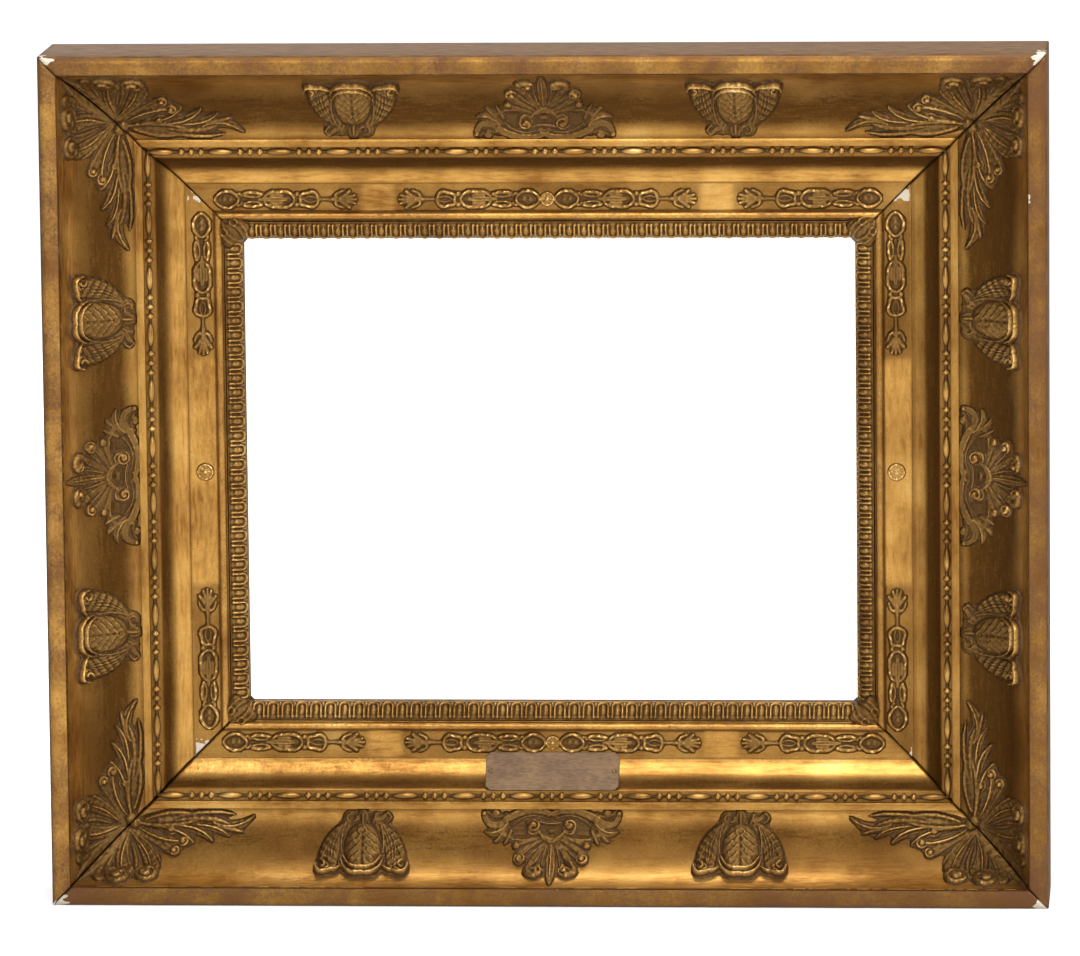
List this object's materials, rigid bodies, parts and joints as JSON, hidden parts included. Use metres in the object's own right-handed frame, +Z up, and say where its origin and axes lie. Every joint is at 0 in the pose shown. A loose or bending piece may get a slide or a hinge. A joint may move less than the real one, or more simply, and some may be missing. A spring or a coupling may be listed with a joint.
{
  "type": "picture frame",
  "caption": "Rectangular gilt moulding picture frame with a deep hollow, bead and reel, cove, frieze scrolls, corner and centre palmettes, roses and a bare brass title plate.",
  "frame": {"origin": "centre of the bounding box in X and Y, underside of the lower outer side in Z", "axes": "+X to the right seen from the front, -Y out of the front towards the viewer, +Y towards the wall, +Z up"},
  "size_m": [0.662, 0.085, 0.567],
  "materials": {
    "gilded_wood": "aged water gilding over red bole and gesso, bare pine at the back",
    "gilded_composition": "aged gilding on pressed composition",
    "key_wood": "bare hardwood",
    "plate_brass": "dull brown brass",
    "pin_brass": "darkened brass",
    "hanger_steel": "dull plated steel",
    "screw_steel": "dull steel",
    "button_brass": "aged brass"
  },
  "bodies": {
    "frame": {"hollow_rail_bottom": "gilded_wood", "hollow_rail_right": "gilded_wood", "hollow_rail_top": "gilded_wood", "hollow_rail_left": "gilded_wood", "frieze_rail_bottom": "gilded_wood", "frieze_rail_right": "gilded_wood", "frieze_rail_top": "gilded_wood", "frieze_rail_left": "gilded_wood", "mitre_keys": "key_wood", "bead_strip_bottom": "gilded_composition", "bead_strip_right": "gilded_composition", "bead_strip_top": "gilded_composition", "bead_strip_left": "gilded_composition", "sight_strip_bottom": "gilded_composition", "sight_strip_right": "gilded_composition", "sight_strip_top": "gilded_composition", "sight_strip_left": "gilded_composition", "sight_leaf_bottom_right": "gilded_composition", "sight_leaf_top_right": "gilded_composition", "sight_leaf_top_left": "gilded_composition", "sight_leaf_bottom_left": "gilded_composition", "corner_palmette_bottom_right": "gilded_composition", "corner_palmette_top_right": "gilded_composition", "corner_palmette_top_left": "gilded_composition", "corner_palmette_bottom_left": "gilded_composition", "centre_palmette_bottom": "gilded_composition", "centre_palmette_right": "gilded_composition", "centre_palmette_top": "gilded_composition", "centre_palmette_left": "gilded_composition", "rose_bottom_left": "gilded_composition", "rose_bottom_right": "gilded_composition", "rose_right_lower": "gilded_composition", "rose_right_upper": "gilded_composition", "rose_top_right": "gilded_composition", "rose_top_left": "gilded_composition", "rose_left_upper": "gilded_composition", "rose_left_lower": "gilded_composition", "end_scrolls_bottom": "gilded_composition", "end_scrolls_right": "gilded_composition", "end_scrolls_top": "gilded_composition", "end_scrolls_left": "gilded_composition", "centre_scroll_bottom": "gilded_composition", "centre_scroll_top": "gilded_composition", "frieze_rosette_left": "gilded_composition", "frieze_rosette_right": "gilded_composition", "title_plate": "plate_brass", "title_plate_pins": "pin_brass", "hanger_strap_left": "hanger_steel", "hanger_strap_right": "hanger_steel", "hanger_screws": "screw_steel", "turn_button_screws": "screw_steel"},
    "hanger_ring_left": {"hanger_ring_left": "hanger_steel"},
    "hanger_ring_right": {"hanger_ring_right": "hanger_steel"},
    "turn_button_bottom": {"turn_button_bottom": "button_brass"},
    "turn_button_right": {"turn_button_right": "button_brass"},
    "turn_button_top": {"turn_button_top": "button_brass"},
    "turn_button_left": {"turn_button_left": "button_brass"}
  },
  "joints": [
    {"name": "hanger_ring_left_swing", "type": "hinge", "parent": "frame", "child": "hanger_ring_left", "pos_m": [-0.23435, 0.0391, 0.39], "axis": [1, 0, 0], "range_deg": [0, 180]},
    {"name": "hanger_ring_right_swing", "type": "hinge", "parent": "frame", "child": "hanger_ring_right", "pos_m": [0.23435, 0.0391, 0.39], "axis": [1, 0, 0], "range_deg": [0, 180]},
    {"name": "turn_button_bottom_turn", "type": "hinge", "parent": "frame", "child": "turn_button_bottom", "pos_m": [0, 0.0385, 0.1113], "axis": [0, 1, 0], "continuous": true},
    {"name": "turn_button_top_turn", "type": "hinge", "parent": "frame", "child": "turn_button_top", "pos_m": [0, 0.0385, 0.4557], "axis": [0, 1, 0], "continuous": true},
    {"name": "turn_button_left_turn", "type": "hinge", "parent": "frame", "child": "turn_button_left", "pos_m": [-0.2197, 0.0385, 0.2835], "axis": [0, 1, 0], "continuous": true},
    {"name": "turn_button_right_turn", "type": "hinge", "parent": "frame", "child": "turn_button_right", "pos_m": [0.2197, 0.0385, 0.2835], "axis": [0, 1, 0], "continuous": true}
  ]
}
